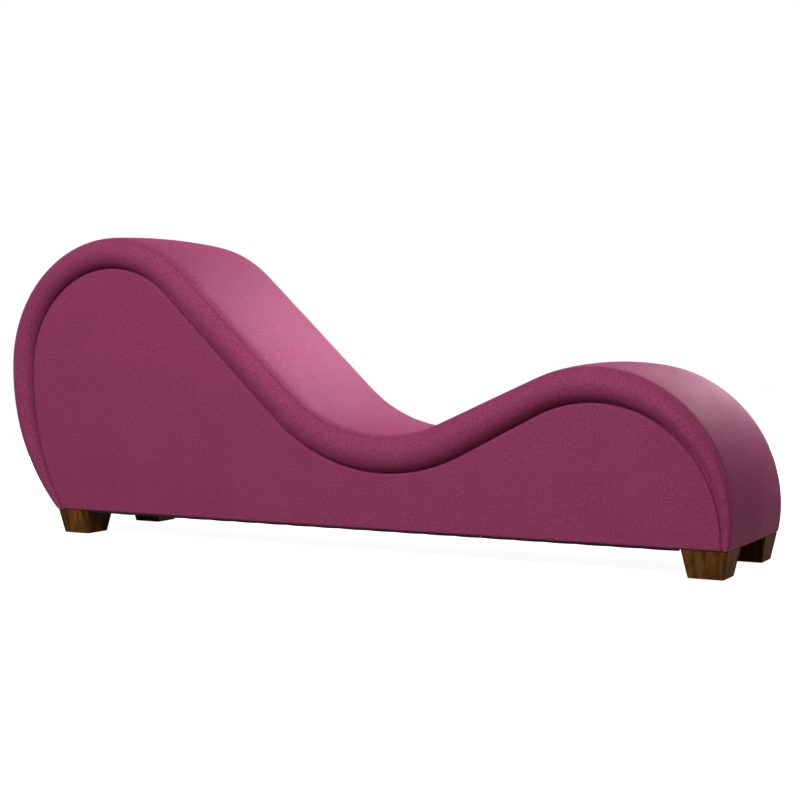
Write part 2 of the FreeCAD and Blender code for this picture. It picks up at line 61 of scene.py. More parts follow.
# Overall sizes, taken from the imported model
HEAD_END = cad_box[0].x
TOE_END = cad_box[1].x
TOP = cad_box[1].z
HALF_WIDTH = cad_box[1].y
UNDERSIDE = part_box("side_cover_right")[0].z
SIDE_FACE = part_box("side_cover_left")[1].y
BOARD_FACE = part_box("side_board_left")[1].y
UP = np.array([0.0, 0.0, 1.0])
WHITE = (1.0, 1.0, 1.0, 1.0)

# Crown line of the pad: back, head, seat and toe arcs
HEAD_OVERHANG = 145 * MM
SWELL_BELOW_TOP = 324 * MM
HEAD_RADIUS = 315 * MM
SEAT_SHARE = 0.6073
SEAT_HEIGHT = 272 * MM
SEAT_RADIUS = 334 * MM
TOE_HEIGHT = 426 * MM
TOE_RADIUS = 299 * MM

# Deck line, where the pad meets the side panels
BACK_THICKNESS = 71 * MM
HEAD_THICKNESS = 78 * MM
SEAT_THICKNESS = 87 * MM
TOE_THICKNESS = 78 * MM
TOE_END_THICKNESS = 21 * MM
HEM_THICKNESS = 14 * MM
SWELL_DROP = 18 * MM
SEAT_SHIFT = 5 * MM
HEAD_STEP = 73 * MM
SEAT_STEP = 67 * MM
TOE_STEP = 27 * MM
LINE_SPACING = 1.5 * MM
REACH_BELOW = 10 * MM
LEAST_CROSS = 1e-12

# Rolled edge of the pad
CROWN = 6 * MM
ROLL_OVERHANG = HALF_WIDTH - SIDE_FACE
ROLL_WIDTH = 38 * MM
SEAM_ANGLE = math.radians(30)
SHELL_DEPTH = 9 * MM
FULL_ROLL_DEPTH = 66 * MM
LEAST_OVERHANG = 1.5 * MM
LEAST_ROLL_WIDTH = 6 * MM
SEAM_ROUND = 3 * MM
HEM_ROUND = 3 * MM
TUCK = 5 * MM
ROLL_STOP = 1 * MM
SHELL_SHARE = 0.35
SEAM_SHARE = 0.12
END_BLEND = 0.2

# Foam core, kept clear of the cover
CORE_INSET = 10 * MM
CORE_SHARE = 0.4
CORE_GAP = 1 * MM
LEAST_CORE = 0.5 * MM

# Side panels and the crease along their rim
PANEL_ROUND = SIDE_FACE - BOARD_FACE - 0.8 * MM
PANEL_ROUND_REACH = 3 * MM
PANEL_GAP = 0.3 * MM
PANEL_BACK = 0.2 * MM
PANEL_FAN = 70 * MM
CREASE = 3.0 * MM
PANEL_EDGE = [offset * MM for offset in (0, 1.4, 2.4, 2.7, 3.0, 3.4, 4.0, 4.8, 6, 9, 16)]
PANEL_HEM = [offset * MM for offset in (12, 7, 4.5, 3, 1.8, 0.8, 0.3, 0)]
LEAST_PANEL_ROUND = 5 * MM
PANEL_HEM_ROUND = 4 * MM

# Dust cover, its hem and its staples
DUST_THICKNESS = 0.4 * MM
DUST_SAG = 1.5 * MM
HEM_BELOW = 0.85 * MM
HEM_WIDTH = 9 * MM
HEM_FOLD = 3.4 * MM
HEM_SLACK = 0.8 * MM
HEM_INSET = 0.5 * MM
FOOT_CLEAR = 4 * MM
STAPLE_PITCH = 70 * MM
STAPLE_CROWN = 10 * MM
STAPLE_LEG = 1.4 * MM
STAPLE_BEND = 0.3 * MM
STAPLE_WIRE = 0.8 * MM
STAPLE_SINK = 0.3 * MM

# Cloth simulation of the cover
TOP_CLOTH = (150, 26)
BAND_CLOTH = (200, 12)
CLOTH_FRAMES = 20
CLOTH_PUSH = 4.0
CLOTH_BEND = 10.0
TOP_BOND = 0.3
BAND_BOND = 0.1
CLOTH_CAP = 5 * MM
LEAST_MOVE = 1e-9

# Mesh steps
STATIONS = 330
STEP = 7 * MM
BAND_STEP = 0.8 * STEP
EDGE_CROWD = np.array([0, 0.12, 0.3, 0.55, 0.8, 1.0, 1.5, 2.5])
FLAT_POINTS, ROLL_POINTS, TUCK_POINTS = 120, 180, 8
CORE_COLUMNS = 9
CORE_SKIP = 3
PANEL_ROWS = 330
PANEL_COLUMNS = 14
RIM_SPACING = 0.5 * MM
CROWN_SPACING = 2 * MM
WELD = 0.03 * MM
DUST_ROWS, DUST_COLUMNS = 60, 16
HEM_STEP = 6 * MM
HEM_SHARES = np.array([0, 0.04, 0.12, 0.25, 0.5, 0.75, 0.88, 0.96, 1])
HEM_FULLNESS = 0.96
WIRE_SIDES = 6
FLOOR_POINTS = 25

# Camera, from the fit to the photo's outline
CAMERA_PLACE = (1.7647, -3.1242, 0.4680)
CAMERA_YAW = math.radians(28.29)
CAMERA_PITCH = math.radians(-2.14)
CAMERA_LENS = 69.63
CAMERA_SENSOR = 36.0

# Studio: half the floor's width, how bright the floor looks, what it gives back, and the world's light
FLOOR_HALF = 12.0
FLOOR_GLOW = 0.92
FLOOR_BOUNCE = (0.12, 0.12, 0.12, 1.0)
AMBIENT = 0.07

# Lamps: place, target, size, watts and, for a narrow beam, its spread in degrees
LAMPS = {
    "key": ((0.85, 0.25, 1.35), (-0.2, 0.0, 0.45), (0.3, 0.3), 0.41, 30),
    "fill": ((0.1, -3.1, 2.5), (0.0, 0.0, 0.35), (2.6, 1.2), 142),
    "back": ((0.2, 2.4, 2.2), (-0.22, 0.0, 0.47), (0.5, 0.4), 0.95, 18),
    "toe": ((0.7, 2.8, 1.3), (0.74, 0.0, 0.38), (0.8, 0.6), 48),
    "end": ((2.9, -0.7, 1.6), (0.7, 0.0, 0.35), (0.9, 0.9), 7),
    "rear": ((-1.4, 3.4, 0.22), (-0.4, 0.0, 0.3), (2.4, 0.36), 60),
    "head": ((-3.0, 1.2, 0.24), (-0.9, 0.0, 0.36), (1.2, 0.36), 26),
}


def smooth(value):
    """A share from 0 to 1 that leaves and arrives gently."""
    value = np.clip(value, 0.0, 1.0)
    return value * value * (3.0 - 2.0 * value)


# S-curves

def back_arc(swell_x, swell_z, start_x):
    """The arc that is outermost at the swell and passes the start at the underside."""
    rise = swell_z - UNDERSIDE
    run = start_x - swell_x
    radius = (rise * rise / run + run) / 2
    return (swell_x + radius, swell_z, radius, 1)


def head_arc(back, top, radius):
    """The arc of the head hump, tangent to the back arc from inside."""
    z = top - radius
    reach = back[2] - radius
    return (back[0] - math.sqrt(reach * reach - (z - back[1]) ** 2), z, radius, 1)


def common_normal(first, second):
    """The normal that two arcs, given as x, z, radius and turn, share on the line that touches both."""
    across = np.array([second[0] - first[0], second[1] - first[1]])
    length = np.hypot(*across)
    heading = across / length
    share = (first[3] * first[2] - second[3] * second[2]) / length
    return heading * share + np.array([-heading[1], heading[0]]) * math.sqrt(1 - share * share)


def trace(arcs, low):
    """Points and outward normals along four tangent arcs, from one end at the height low to the other."""
    back, head, seat, toe = arcs
    start_sine = (low - back[1]) / back[2]
    end_sine = (low - toe[1]) / toe[2]
    joint = np.array([head[0] - back[0], head[1] - back[1]])
    normals = [
        np.array([-math.sqrt(1 - start_sine**2), start_sine]),
        joint / np.hypot(*joint),
        common_normal(head, seat),
        common_normal(seat, toe),
        np.array([math.sqrt(1 - end_sine**2), end_sine]),
    ]
    points = []
    directions = []
    for arc, first, last in zip(arcs, normals, normals[1:]):
        begin = math.atan2(first[1], first[0])
        turn = math.atan2(last[1], last[0]) - begin
        if arc[3] > 0 and turn > 0:
            turn -= 2 * math.pi
        count = max(3, int(abs(turn) * arc[2] / LINE_SPACING))
        angles = begin + turn * np.linspace(0, 1, count)
        outward = np.stack([np.cos(angles), np.sin(angles)], axis=1)
        points.append(np.array(arc[:2]) + arc[3] * arc[2] * outward)
        directions.append(outward)
    return np.concatenate(points), np.concatenate(directions)


def along(points):
    """Distance along a line of points."""
    return np.concatenate([[0.0], np.cumsum(np.hypot(*np.diff(points, axis=0).T))])


def resample(points, values, places):
    """Values that go with a line of points, at other places along it."""
    distance = along(points)
    return np.stack([np.interp(places, distance, column) for column in values.T], axis=1)


def first_hit(origin, heading, line):
    """Distance from an origin along a heading to the nearest crossing of a line of points."""
    begin = line[:-1] - origin
    edge = np.diff(line, axis=0)
    cross = heading[0] * edge[:, 1] - heading[1] * edge[:, 0]
    cross = np.where(np.abs(cross) < LEAST_CROSS, LEAST_CROSS, cross)
    reach = (begin[:, 0] * edge[:, 1] - begin[:, 1] * edge[:, 0]) / cross
    share = (begin[:, 0] * heading[1] - begin[:, 1] * heading[0]) / cross
    good = (share >= 0) & (share <= 1) & (reach > 0)
    return reach[good].min()


crown_back = back_arc(HEAD_END, TOP - SWELL_BELOW_TOP, HEAD_END + HEAD_OVERHANG)
crown_head = head_arc(crown_back, TOP, HEAD_RADIUS)
toe_x = TOE_END - TOE_RADIUS
seat_x = crown_head[0] + SEAT_SHARE * (toe_x - crown_head[0])
crown_arcs = [
    crown_back,
    crown_head,
    (seat_x, SEAT_HEIGHT + SEAT_RADIUS, SEAT_RADIUS, -1),
    (toe_x, TOE_HEIGHT - TOE_RADIUS, TOE_RADIUS, 1),
]
deck_back = back_arc(
    HEAD_END + BACK_THICKNESS, TOP - SWELL_BELOW_TOP - SWELL_DROP, HEAD_END + HEAD_OVERHANG + HEM_THICKNESS
)
deck_seat_radius = SEAT_RADIUS + SEAT_STEP
deck_toe_radius = TOE_RADIUS - TOE_STEP
deck_arcs = [
    deck_back,
    head_arc(deck_back, TOP - HEAD_THICKNESS, HEAD_RADIUS - HEAD_STEP),
    (seat_x + SEAT_SHIFT, SEAT_HEIGHT - SEAT_THICKNESS + deck_seat_radius, deck_seat_radius, -1),
    (
        TOE_END - TOE_END_THICKNESS - deck_toe_radius,
        TOE_HEIGHT - TOE_THICKNESS - deck_toe_radius,
        deck_toe_radius,
        1,
    ),
]
deck_line, deck_normals = trace(deck_arcs, UNDERSIDE)
deck_reach, _ = trace(deck_arcs, UNDERSIDE - REACH_BELOW)


# Mesh helpers

def new_object(name, points, faces):
    """A smooth-shaded mesh object, linked to the scene."""
    mesh = bpy.data.meshes.new(name)
    mesh.from_pydata([tuple(p) for p in points], [], faces)
    mesh.polygons.foreach_set("use_smooth", [True] * len(mesh.polygons))
    mesh.update()
    piece = bpy.data.objects.new(name, mesh)
    bpy.context.scene.collection.objects.link(piece)
    return piece


def grid_faces(rows, columns, start, flip):
    """Four-sided faces over a grid of points, the first of which has the number start."""
    faces = []
    for i in range(rows - 1):
        for j in range(columns - 1):
            a = start + i * columns + j
            quad = (a, a + 1, a + columns + 1, a + columns)
            faces.append(quad[::-1] if flip else quad)
    return faces


def enclosed(points, faces):
    """Volume inside closed four-sided faces, negative where they face inwards."""
    a, b, c, d = points[np.array(faces)].transpose(1, 0, 2)
    return (np.cross(b - a, c - a) * a).sum() / 6 + (np.cross(c - a, d - a) * a).sum() / 6


def shell(name, outer, inner):
    """A closed piece between an outer and an inner grid of points that have the same layout."""
    rows, columns, _ = outer.shape
    points = np.concatenate([outer.reshape(-1, 3), inner.reshape(-1, 3)])
    size = rows * columns
    faces = grid_faces(rows, columns, 0, False) + grid_faces(rows, columns, size, True)
    border = list(range(columns))
    border += [i * columns + columns - 1 for i in range(1, rows)]
    border += [(rows - 1) * columns + j for j in range(columns - 2, -1, -1)]
    border += [i * columns for i in range(rows - 2, 0, -1)]
    for a, b in zip(border, border[1:] + border[:1]):
        faces.append((a, a + size, b + size, b))
    if enclosed(points, faces) < 0:
        faces = [face[::-1] for face in faces]
    return new_object(name, points, faces)


def welded(piece):
    """The piece with points that lie on each other joined, where its rows run together at a corner."""
    made = bmesh.new()
    made.from_mesh(piece.data)
    bmesh.ops.remove_doubles(made, verts=made.verts, dist=WELD)
    made.to_mesh(piece.data)
    made.free()
    return piece


def edge_steps(length, round_start, round_end, step):
    """Places along a length, crowded where an end is rounded over."""
    start = EDGE_CROWD * round_start
    end = length - EDGE_CROWD[::-1] * round_end
    count = max(3, int((end[0] - start[-1]) / step))
    middle = np.linspace(start[-1], end[0], count + 1)[1:-1]
    return np.concatenate([start, middle, end])


def round_over(distance, radius):
    """How far a surface has turned in at a distance from its rounded edge."""
    inside = np.clip(radius - distance, 0.0, radius)
    return radius - np.sqrt(radius * radius - inside * inside)


# Pad: stations along the crown line, each with a depth direction that is level at the two hems

crown_line, crown_normals = trace(crown_arcs, UNDERSIDE)
crown_length = along(crown_line)[-1]
station_places = edge_steps(crown_length, HEM_ROUND, HEM_ROUND, crown_length / STATIONS)
to_end = np.minimum(station_places, crown_length - station_places)
hem_turn = round_over(to_end, HEM_ROUND)
station_points = resample(crown_line, crown_line, station_places)
station_normals = resample(crown_line, crown_normals, station_places)
level = 1 - smooth(to_end / END_BLEND)
inwards = np.where(station_places < crown_length / 2, 1.0, -1.0)
level_direction = np.stack([inwards, np.zeros_like(inwards)], axis=1)
depth_directions = -station_normals * (1 - level)[:, None] + level_direction * level[:, None]
depth_directions /= np.hypot(*depth_directions.T)[:, None]
thickness = np.array([first_hit(p, d, deck_reach) for p, d in zip(station_points, depth_directions)])
fullness = smooth((thickness - HEM_THICKNESS) / (FULL_ROLL_DEPTH - HEM_THICKNESS))
overhang = LEAST_OVERHANG + (ROLL_OVERHANG - LEAST_OVERHANG) * fullness
roll_width = LEAST_ROLL_WIDTH + (ROLL_WIDTH - LEAST_ROLL_WIDTH) * fullness


def half_section(index):
    """Dense half section at a station, from the middle of the top to under the roll, and its seam's place."""
    depth = thickness[index]
    width = roll_width[index]
    flat = SIDE_FACE + overhang[index] - width
    crown = CROWN * min(1.0, depth / FULL_ROLL_DEPTH)
    low_crown = crown * ((flat + width) / flat) ** 2
    touch = math.pi - math.asin(min(1.0, max(0.0, (BOARD_FACE + ROLL_STOP - flat) / width)))
    rise = (depth - low_crown) / (1 - math.cos(touch))
    across = np.linspace(0, flat, FLAT_POINTS)[:-1]
    angles = np.linspace(0, touch, ROLL_POINTS)
    roll_y = flat + width * np.sin(angles)
    crown_y = np.where(angles < math.pi / 2, roll_y, flat + width)
    roll_depth = crown * (crown_y / flat) ** 2 + rise * (1 - np.cos(angles))
    tuck = np.linspace(roll_y[-1], BOARD_FACE - TUCK, TUCK_POINTS)[1:]
    y = np.concatenate([across, roll_y, tuck])
    d = np.concatenate([crown * (across / flat) ** 2, roll_depth, np.full_like(tuck, depth)])
    line = np.stack([y, d], axis=1)
    seam = np.interp(SEAM_ANGLE, angles, along(line)[len(across):len(across) + len(angles)])
    return line, seam


def section_normals(line):
    """Outward normals along a section."""
    tangent = np.gradient(line, axis=0)
    tangent /= np.hypot(*tangent.T)[:, None]
    return np.stack([tangent[:, 1], -tangent[:, 0]], axis=1)


def placed(index, section):
    """Section points (across, depth) put at a station."""
    x = station_points[index, 0] + depth_directions[index, 0] * section[:, 1]
    z = station_points[index, 1] + depth_directions[index, 1] * section[:, 1]
    return np.stack([x, section[:, 0], z], axis=1)


def pad_grids():
    """Outer and inner grids of the top panel and of the boxing band, for the half at +Y."""
    top_outer, top_inner, band_outer, band_inner = [], [], [], []
    sections = [half_section(i) for i in range(len(station_places))]
    mean_seam = np.median([seam for _, seam in sections])
    mean_band = np.median([along(line)[-1] - seam for line, seam in sections])
    top_share = edge_steps(mean_seam, SEAM_ROUND, SEAM_ROUND, STEP)[len(EDGE_CROWD):] / mean_seam
    top_share = np.concatenate([np.linspace(0, top_share[0], 3)[:-1], top_share])
    band_share = edge_steps(mean_band, SEAM_ROUND, SEAM_ROUND, BAND_STEP) / mean_band
    for i, (line, seam) in enumerate(sections):
        normals = section_normals(line)
        shell_depth = min(SHELL_DEPTH, SHELL_SHARE * thickness[i])
        seam_round = min(SEAM_ROUND, SEAM_SHARE * thickness[i])
        for share, start, length, outer, inner in (
            (top_share, 0.0, seam, top_outer, top_inner),
            (band_share, seam, along(line)[-1] - seam, band_outer, band_inner),
        ):
            places = start + share * length
            points = resample(line, line, places)
            facing = resample(line, normals, places)
            facing /= np.hypot(*facing.T)[:, None]
            turned = round_over(np.abs(places - seam), seam_round) + hem_turn[i]
            outer.append(placed(i, points - facing * turned[:, None]))
            inner.append(placed(i, points - facing * (turned + shell_depth)[:, None]))
    return [np.array(g) for g in (top_outer, top_inner, band_outer, band_inner)]


def mirrored(grid):
    """The same grid on the other side."""
    return grid * np.array([1.0, -1.0, 1.0])


def both_halves(grid):
    """A grid that runs over the middle from the half at -Y to the half at +Y."""
    return np.concatenate([mirrored(grid[:, :0:-1]), grid], axis=1)


def spread(coarse, rows, columns, row_count, column_count):
    """Values at some rows and columns of a grid, filled in over all of it."""
    tall = np.apply_along_axis(lambda line: np.interp(np.arange(row_count), rows, line), 0, coarse)
    return np.apply_along_axis(lambda line: np.interp(np.arange(column_count), columns, line), 1, tall)


def swollen(outer, inner, counts, bond):
    """How far stretched cloth, held at its four edges, swells from its padding, by cloth simulation."""
    row_count, column_count, _ = outer.shape
    rows = np.unique(np.linspace(0, row_count - 1, counts[0]).astype(int))
    columns = np.unique(np.linspace(0, column_count - 1, counts[1]).astype(int))
    start = outer[np.ix_(rows, columns)]
    across = np.cross(start[1:, :-1] - start[:-1, :-1], start[:-1, 1:] - start[:-1, :-1])
    facing = (across * (outer - inner)[np.ix_(rows, columns)][:-1, :-1]).sum()
    cloth = new_object("swelling", start.reshape(-1, 3), grid_faces(len(rows), len(columns), 0, facing > 0))
    held = np.zeros(start.shape[:2], bool)
    held[[0, -1]] = True
    held[:, [0, -1]] = True
    group = cloth.vertex_groups.new(name="held")
    group.add([int(i) for i in np.flatnonzero(held)], 1.0, "REPLACE")
    group.add([int(i) for i in np.flatnonzero(~held)], bond, "REPLACE")
    settings = cloth.modifiers.new("cloth", "CLOTH").settings
    settings.vertex_group_mass = "held"
    settings.use_pressure = True
    settings.uniform_pressure_force = CLOTH_PUSH
    settings.effector_weights.gravity = 0.0
    settings.bending_stiffness = CLOTH_BEND
    scene = bpy.context.scene
    for number in range(1, CLOTH_FRAMES + 1):
        scene.frame_set(number)
    relaxed = cloth.evaluated_get(bpy.context.evaluated_depsgraph_get()).data
    places = np.empty(len(relaxed.vertices) * 3)
    relaxed.vertices.foreach_get("co", places)
    moved = places.reshape(start.shape) - start
    scene.frame_set(1)
    sheet = cloth.data
    bpy.data.objects.remove(cloth)
    bpy.data.meshes.remove(sheet)
    reach = np.maximum(np.linalg.norm(moved, axis=2, keepdims=True), LEAST_MOVE)
    moved *= CLOTH_CAP * np.tanh(reach / CLOTH_CAP) / reach
    return spread(moved, rows, columns, row_count, column_count)


top_outer, top_inner, band_outer, band_inner = pad_grids()
top_outer, top_inner = both_halves(top_outer), both_halves(top_inner)
top_swell = swollen(top_outer, top_inner, TOP_CLOTH, TOP_BOND)
top_outer, top_inner = top_outer + top_swell, top_inner + top_swell
band_swell = swollen(band_outer, band_inner, BAND_CLOTH, BAND_BOND)
band_outer, band_inner = band_outer + band_swell, band_inner + band_swell
pad_top = shell("pad_top", top_outer, top_inner)
pad_bands = {
    "left": shell("pad_band_left", band_outer, band_inner),
    "right": shell("pad_band_right", mirrored(band_outer), mirrored(band_inner)),
}


# Foam core under the top panel and between the bands

def foam_core():
    """The foam body, one slab with a straight section at every third station."""
    half = BOARD_FACE - CORE_INSET
    across = np.linspace(-half, half, CORE_COLUMNS)
    outer, inner = [], []
    for i in range(0, len(station_places), CORE_SKIP):
        top = min(CORE_INSET, CORE_SHARE * thickness[i]) + CROWN
        low = max(thickness[i] - CORE_GAP, top + LEAST_CORE)
        outer.append(placed(i, np.stack([across, np.full_like(across, top)], axis=1)))
        inner.append(placed(i, np.stack([across, np.full_like(across, low)], axis=1)))
    return shell("pad_core", np.array(outer), np.array(inner))


pad_core = foam_core()


# Side panels: stretched cloth over thin padding, pulled in at the crease and turned under at the bottom

rim_line = resample(deck_line, deck_line, np.arange(0, along(deck_line)[-1], RIM_SPACING))
crown_marks = resample(crown_line, crown_line, np.arange(0, crown_length, CROWN_SPACING))
rim_depth = np.array([np.hypot(*(crown_marks - p).T).min() for p in rim_line])
rim_round = LEAST_PANEL_ROUND + (PANEL_ROUND - LEAST_PANEL_ROUND) * smooth(
    (rim_depth - HEM_THICKNESS) / (FULL_ROLL_DEPTH - HEM_THICKNESS)
)


def panel_turn(point):
    """How far a side panel has turned in at a point, near its rim or its bottom edge."""
    distance = np.hypot(*(rim_line - point).T)
    nearest = distance.argmin()
    rim = round_over((distance[nearest] - CREASE) / PANEL_ROUND_REACH, 1.0) * rim_round[nearest]
    return max(rim, round_over(point[1] - UNDERSIDE, PANEL_HEM_ROUND))


def panel_grids():
    """Outer and inner grids of the side panel at +Y, each row from the rim down to the bottom edge."""
    places = np.linspace(0, along(deck_line)[-1], PANEL_ROWS)
    rim_normals = resample(deck_line, deck_normals, places)
    rim = resample(deck_line, deck_line, places) - rim_normals * PANEL_GAP
    foot = np.stack([np.linspace(rim[0, 0], rim[-1, 0], PANEL_ROWS), np.full(PANEL_ROWS, UNDERSIDE)], axis=1)
    opening = smooth(np.hypot(*(foot - rim).T) / PANEL_FAN)[:, None]
    columns = [rim - rim_normals * offset * opening for offset in PANEL_EDGE]
    hem = [foot + np.array([0.0, 1.0]) * offset * opening for offset in PANEL_HEM]
    shares = np.linspace(0, 1, PANEL_COLUMNS)[1:-1]
    field = [columns[-1] * (1 - share) + hem[0] * share for share in shares]
    plane = np.stack(columns + field + hem, axis=1)
    face = SIDE_FACE - np.array([[panel_turn(point) for point in row] for row in plane])
    back = np.full_like(face, BOARD_FACE + PANEL_BACK)
    return [np.stack([plane[..., 0], y, plane[..., 1]], axis=-1) for y in (face, back)]


panel_outer, panel_inner = panel_grids()
side_panels = {
    "left": welded(shell("side_panel_left", panel_outer, panel_inner)),
    "right": welded(shell("side_panel_right", mirrored(panel_outer), mirrored(panel_inner))),
}


# Dust cover under the frame

def dust_cover():
    """The stretched sheet, which sags a little in the middle, and its flat size."""
    low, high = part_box("dust_cover")
    length, width = high.x - low.x, high.y - low.y
    x, y = np.meshgrid(
        np.linspace(low.x, high.x, DUST_ROWS), np.linspace(low.y, high.y, DUST_COLUMNS), indexing="ij"
    )
    sag = np.sin(np.pi * (x - low.x) / length) * np.sin(np.pi * (y - low.y) / width)
    z = high.z - DUST_THICKNESS - DUST_SAG * sag
    points = np.stack([x, y, z], axis=-1).reshape(-1, 3)
    piece = new_object("dust_sheet", points, grid_faces(DUST_ROWS, DUST_COLUMNS, 0, True))
    thick = piece.modifiers.new("thickness", "SOLIDIFY")
    thick.thickness = DUST_THICKNESS
    return piece, (width, length)


dust_sheet, dust_size = dust_cover()


# Folded hem of the dust cover, between the feet, and the staples that hold it to the frame

def hem_drop(place):
    """How far the hem hangs at a place along it, least at the staples."""
    return HEM_FOLD + HEM_SLACK * np.abs(np.sin(np.pi * place / STAPLE_PITCH))


def hem_strip(name, start, heading, length, aside):
    """A folded strip from a start along a heading; aside points from its outer edge to its inner edge."""
    places = np.linspace(0, length, int(length / HEM_STEP))
    round_section = np.sqrt(1 - np.abs(2 * HEM_SHARES - 1) ** 4 * HEM_FULLNESS)
    flat = start + heading * places[:, None, None] + aside * (HEM_WIDTH * HEM_SHARES)[:, None]
    low = flat - UP * (hem_drop(places)[:, None] * round_section)[..., None]
    return shell(name, low, flat)


def wire(path, across, radius):
    """Points and faces of a wire along a flat path; across stands square to the path's plane."""
    turns = np.linspace(0, 2 * np.pi, WIRE_SIDES, endpoint=False)
    cosines, sines = np.cos(turns)[:, None], np.sin(turns)[:, None]
    headings = np.gradient(path, axis=0)
    headings /= np.linalg.norm(headings, axis=1, keepdims=True)
    rings = [p + radius * (cosines * across + sines * np.cross(h, across)) for p, h in zip(path, headings)]
    faces = []
    for i in range(0, (len(path) - 1) * WIRE_SIDES, WIRE_SIDES):
        for j in range(WIRE_SIDES):
            k = (j + 1) % WIRE_SIDES
            faces.append((i + j, i + k, i + WIRE_SIDES + k, i + WIRE_SIDES + j))
    count = len(path) * WIRE_SIDES
    faces += [tuple(range(WIRE_SIDES))[::-1], tuple(range(count - WIRE_SIDES, count))]
    return np.concatenate(rings), faces


def staple_path(center, heading):
    """The line of a staple's wire: leg, crown and leg."""
    half = STAPLE_CROWN / 2
    side = np.array([(half - STAPLE_BEND, 0), (half, STAPLE_BEND), (half, STAPLE_LEG)])
    steps = np.concatenate([side[::-1] * [-1, 1], side])
    return center + heading * steps[:, :1] + UP * steps[:, 1:]


def hem():
    """The four hem strips, and all their staples as one piece."""
    low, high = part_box("dust_cover")
    foot_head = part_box("foot_head_left")
    foot_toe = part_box("foot_toe_left")
    top = high.z - HEM_BELOW
    begin, end = foot_head[1].x + FOOT_CLEAR, foot_toe[0].x - FOOT_CLEAR
    half = foot_head[0].y - FOOT_CLEAR
    along_x, along_y = np.array([1.0, 0, 0]), np.array([0, 1.0, 0])
    runs = {
        "left": ((begin, high.y - HEM_INSET, top), along_x, end - begin, -along_y),
        "right": ((begin, low.y + HEM_INSET, top), along_x, end - begin, along_y),
        "head": ((low.x + HEM_INSET, -half, top), along_y, 2 * half, along_x),
        "toe": ((high.x - HEM_INSET, -half, top), along_y, 2 * half, -along_x),
    }
    strips = []
    points, faces = [], []
    for name, (start, heading, length, aside) in runs.items():
        start = np.array(start)
        strips.append(hem_strip(f"dust_hem_{name}", start, heading, length, aside))
        for place in np.arange(STAPLE_PITCH, length, STAPLE_PITCH):
            center = start + heading * place + aside * HEM_WIDTH / 2 - UP * (hem_drop(place) - STAPLE_SINK)
            wire_points, wire_faces = wire(staple_path(center, heading), aside, STAPLE_WIRE / 2)
            first = sum(len(p) for p in points)
            points.append(wire_points)
            faces += [tuple(first + i for i in face) for face in wire_faces]
    return strips, new_object("dust_staples", np.concatenate(points), faces)


dust_hems, staples = hem()


# Materials

def material(name):
    """A new node material, its tree and its shader."""
    made = bpy.data.materials.new(name)
    made.use_nodes = True
    tree = made.node_tree
    return made, tree, tree.nodes["Principled BSDF"]


def noise(tree, scale, detail=2.0, stretch=None, rough=0.5):
    """A noise texture in the object's own coordinates, stretched along an axis for grain."""
    where = tree.nodes.new("ShaderNodeTexCoord")
    texture = tree.nodes.new("ShaderNodeTexNoise")
    texture.inputs["Scale"].default_value = scale
    texture.inputs["Detail"].default_value = detail
    texture.inputs["Roughness"].default_value = rough
    if stretch:
        mapping = tree.nodes.new("ShaderNodeMapping")
        mapping.inputs["Scale"].default_value = stretch
        tree.links.new(where.outputs["Object"], mapping.inputs["Vector"])
        tree.links.new(mapping.outputs["Vector"], texture.inputs["Vector"])
    else:
        tree.links.new(where.outputs["Object"], texture.inputs["Vector"])
    return texture


def ramp(tree, source, *stops):
    """A colour ramp between two stops, each a place and a colour."""
    made = tree.nodes.new("ShaderNodeValToRGB")
    for element, (place, color) in zip(made.color_ramp.elements, stops):
        element.position = place
        element.color = (*color, 1.0)
    tree.links.new(source, made.inputs["Fac"])
    return made


def multiplied(tree, first, second):
    """The product of two colours."""
    made = tree.nodes.new("ShaderNodeMix")
    made.data_type = "RGBA"
    made.blend_type = "MULTIPLY"
    made.inputs["Factor"].default_value = 1.0
    tree.links.new(first, made.inputs["A"])
    tree.links.new(second, made.inputs["B"])
    return made.outputs["Result"]


def bump(tree, shader, source, strength, distance, before=None):
    """A bump on a shader's normal, on top of the one before."""
    made = tree.nodes.new("ShaderNodeBump")
    made.inputs["Strength"].default_value = strength
    made.inputs["Distance"].default_value = distance
    tree.links.new(source, made.inputs["Height"])
    if before:
        tree.links.new(before.outputs["Normal"], made.inputs["Normal"])
    tree.links.new(made.outputs["Normal"], shader.inputs["Normal"])
    return made


def velour():
    """Plum upholstery cloth with a fine mottle, a slightly uneven nap and a soft gloss."""
    made, tree, shader = material("velour")
    speckle = noise(tree, 200, 5.0, None, 0.7)
    nap = noise(tree, 9, 3.0)
    pile = noise(tree, 1500, 2.0)
    fine = ramp(tree, speckle.outputs["Fac"], (0.32, (0.200, 0.023, 0.072)), (0.68, (0.300, 0.056, 0.130)))
    broad = ramp(tree, nap.outputs["Fac"], (0.30, (0.93, 0.90, 0.91)), (0.70, (1.0, 1.0, 1.0)))
    color = multiplied(tree, fine.outputs["Color"], broad.outputs["Color"])
    tree.links.new(color, shader.inputs["Base Color"])
    rough = ramp(tree, nap.outputs["Fac"], (0.2, (0.66, 0.66, 0.66)), (0.8, (0.76, 0.76, 0.76)))
    tree.links.new(rough.outputs["Color"], shader.inputs["Roughness"])
    shader.inputs["Specular IOR Level"].default_value = 0.12
    shader.inputs["Specular Tint"].default_value = (1.0, 0.72, 0.88, 1.0)
    shader.inputs["Sheen Weight"].default_value = 0.3
    shader.inputs["Sheen Roughness"].default_value = 0.35
    shader.inputs["Sheen Tint"].default_value = (1.0, 0.12, 0.42, 1.0)
    first = bump(tree, shader, pile.outputs["Fac"], 0.35, 0.0005)
    bump(tree, shader, speckle.outputs["Fac"], 0.08, 0.0010, first)
    return made


